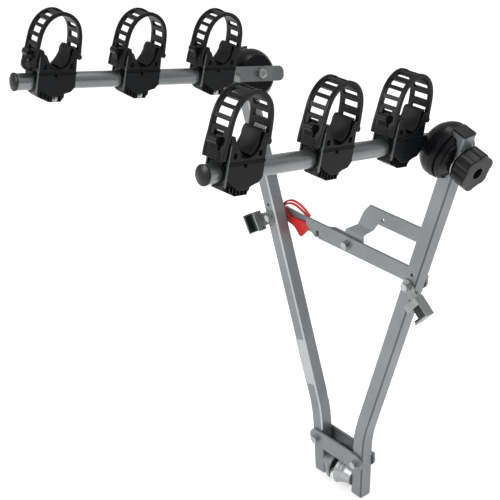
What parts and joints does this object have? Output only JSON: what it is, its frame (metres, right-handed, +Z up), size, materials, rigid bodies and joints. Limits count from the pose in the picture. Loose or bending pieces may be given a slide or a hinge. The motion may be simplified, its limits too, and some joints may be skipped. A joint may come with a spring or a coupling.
{
  "type": "tow ball bike carrier",
  "caption": "Tow-ball bicycle carrier: V frame of square legs, toggle brace, folding round arms on toothed discs with knobs, sliding saddle cradles with ladder straps.",
  "frame": {"origin": "centre of the tow ball that the two cups close on", "axes": "+Z up, arms reach towards -Y (away from the car), +X to the side of the leg that carries the strut"},
  "size_m": [0.574, 0.486, 0.9141],
  "materials": {
    "frame_coat": "silver-grey powder coat, fine texture",
    "arm_tube": "bright silver coat on round tube",
    "cast_cup": "bright cast and tumbled",
    "liner_rubber": "black rubber",
    "zinc_hardware": "bright zinc plate",
    "brace_steel": "silver-grey coat on stamped steel",
    "red_rubber": "red rubber",
    "clip_zinc": "bright zinc plate on bent sheet",
    "clip_rubber": "black rubber",
    "pad_rubber": "dark brown rubber",
    "strap_rubber": "black moulded rubber",
    "cradle_plastic": "black moulded plastic",
    "disc_plastic": "black moulded plastic",
    "knob_plastic": "black moulded plastic, fine grain",
    "cap_plastic": "black moulded plastic"
  },
  "bodies": {
    "foot": {"rear_foot_plate": "frame_coat", "front_foot_plate": "frame_coat", "foot_pivot_bolts": "zinc_hardware"},
    "left_leg": {"left_leg": "frame_coat", "left_leg_cap": "cap_plastic", "left_cup": "frame_coat", "left_cup_liner": "liner_rubber", "left_leg_bolt": "zinc_hardware", "left_leg_disc": "disc_plastic"},
    "left_clip": {"left_clip_bracket": "clip_zinc", "left_clip_pad": "clip_rubber"},
    "left_arm": {"left_arm": "arm_tube", "left_arm_cap": "cap_plastic", "left_arm_disc": "disc_plastic", "left_arm_bolt": "zinc_hardware"},
    "left_knob": {"left_arm_knob": "knob_plastic"},
    "left_cradle_1": {"left_cradle_1_shell": "cradle_plastic", "left_cradle_1_saddle": "cradle_plastic", "left_cradle_1_pads": "pad_rubber", "left_cradle_1_strap": "strap_rubber"},
    "left_cradle_2": {"left_cradle_2_shell": "cradle_plastic", "left_cradle_2_saddle": "cradle_plastic", "left_cradle_2_pads": "pad_rubber", "left_cradle_2_strap": "strap_rubber"},
    "left_cradle_3": {"left_cradle_3_shell": "cradle_plastic", "left_cradle_3_saddle": "cradle_plastic", "left_cradle_3_pads": "pad_rubber", "left_cradle_3_strap": "strap_rubber"},
    "right_leg": {"right_leg": "frame_coat", "right_leg_cap": "cap_plastic", "right_cup": "cast_cup", "right_cup_liner": "liner_rubber", "right_leg_bolt": "zinc_hardware", "right_leg_disc": "disc_plastic"},
    "right_clip": {"right_clip_bracket": "clip_zinc", "right_clip_pad": "clip_rubber"},
    "right_arm": {"right_arm": "arm_tube", "right_arm_cap": "cap_plastic", "right_arm_disc": "disc_plastic", "right_arm_bolt": "zinc_hardware"},
    "right_knob": {"right_arm_knob": "knob_plastic"},
    "right_cradle_1": {"right_cradle_1_shell": "cradle_plastic", "right_cradle_1_saddle": "cradle_plastic", "right_cradle_1_pads": "pad_rubber", "right_cradle_1_strap": "strap_rubber"},
    "right_cradle_2": {"right_cradle_2_shell": "cradle_plastic", "right_cradle_2_saddle": "cradle_plastic", "right_cradle_2_pads": "pad_rubber", "right_cradle_2_strap": "strap_rubber"},
    "right_cradle_3": {"right_cradle_3_shell": "cradle_plastic", "right_cradle_3_saddle": "cradle_plastic", "right_cradle_3_pads": "pad_rubber", "right_cradle_3_strap": "strap_rubber"},
    "strut": {"strut_bar": "brace_steel", "lever_bolt": "zinc_hardware"},
    "lever": {"brace_lever": "brace_steel"},
    "link": {"brace_link": "brace_steel", "link_pins": "zinc_hardware", "safety_strap": "red_rubber"}
  },
  "joints": [
    {"name": "right_leg_pivot", "type": "hinge", "parent": "foot", "child": "right_leg", "pos_m": [0.0508, 0, 0.0438], "axis": [0, -1, 0], "range_deg": [0, 3.61]},
    {"name": "left_leg_pivot", "type": "hinge", "parent": "foot", "child": "left_leg", "pos_m": [-0.0508, 0, 0.0438], "axis": [0, 1, 0], "range_deg": [0, 3.61]},
    {"name": "strut_pivot", "type": "hinge", "parent": "right_leg", "child": "strut", "pos_m": [0.16348, 0.0148, 0.45146], "axis": [0, -1, 0], "range_deg": [-3.61, 0]},
    {"name": "lever_pivot", "type": "hinge", "parent": "strut", "child": "lever", "pos_m": [-0.0015, 0.0191, 0.44966], "axis": [0, -1, 0], "range_deg": [0, 51.32]},
    {"name": "link_pivot", "type": "hinge", "parent": "lever", "child": "link", "pos_m": [-0.0708, 0.0234, 0.44396], "axis": [0, -1, 0], "range_deg": [-86.46, 0]},
    {"name": "left_arm_fold", "type": "hinge", "parent": "left_leg", "child": "left_arm", "pos_m": [-0.23791, 0, 0.68709], "axis": [0.9536, 0, 0.3012], "range_deg": [-8, 96]},
    {"name": "left_knob_turn", "type": "hinge", "parent": "left_leg", "child": "left_knob", "pos_m": [-0.23791, 0, 0.68709], "axis": [-0.9536, 0, -0.3012], "continuous": true},
    {"name": "left_clip_turn", "type": "hinge", "parent": "left_leg", "child": "left_clip", "pos_m": [-0.16348, -0.0128, 0.45146], "axis": [0, -1, 0], "range_deg": [-25, 25]},
    {"name": "left_cradle_1_slide", "type": "slide", "parent": "left_arm", "child": "left_cradle_1", "axis": [-0.066, -0.9757, 0.2088], "range_m": [0, 0.03]},
    {"name": "left_cradle_2_slide", "type": "slide", "parent": "left_arm", "child": "left_cradle_2", "axis": [-0.066, -0.9757, 0.2088], "range_m": [-0.03, 0.03]},
    {"name": "left_cradle_3_slide", "type": "slide", "parent": "left_arm", "child": "left_cradle_3", "axis": [-0.066, -0.9757, 0.2088], "range_m": [-0.03, 0.012]},
    {"name": "right_arm_fold", "type": "hinge", "parent": "right_leg", "child": "right_arm", "pos_m": [0.23791, 0, 0.68709], "axis": [0.9536, 0, -0.3012], "range_deg": [-8, 96]},
    {"name": "right_knob_turn", "type": "hinge", "parent": "right_leg", "child": "right_knob", "pos_m": [0.23791, 0, 0.68709], "axis": [0.9536, 0, -0.3012], "continuous": true},
    {"name": "right_clip_turn", "type": "hinge", "parent": "right_leg", "child": "right_clip", "pos_m": [0.16348, -0.0128, 0.45146], "axis": [0, -1, 0], "range_deg": [-25, 25]},
    {"name": "right_cradle_1_slide", "type": "slide", "parent": "right_arm", "child": "right_cradle_1", "axis": [0.066, -0.9757, 0.2088], "range_m": [0, 0.03]},
    {"name": "right_cradle_2_slide", "type": "slide", "parent": "right_arm", "child": "right_cradle_2", "axis": [0.066, -0.9757, 0.2088], "range_m": [-0.03, 0.03]},
    {"name": "right_cradle_3_slide", "type": "slide", "parent": "right_arm", "child": "right_cradle_3", "axis": [0.066, -0.9757, 0.2088], "range_m": [-0.03, 0.012]}
  ],
  "couplings": [
    {"joint": "right_leg_pivot", "follows": "lever_pivot", "ratio": 0.070142},
    {"joint": "left_leg_pivot", "follows": "lever_pivot", "ratio": 0.070142},
    {"joint": "strut_pivot", "follows": "lever_pivot", "ratio": -0.070142},
    {"joint": "link_pivot", "follows": "lever_pivot", "ratio": -1.6844}
  ]
}
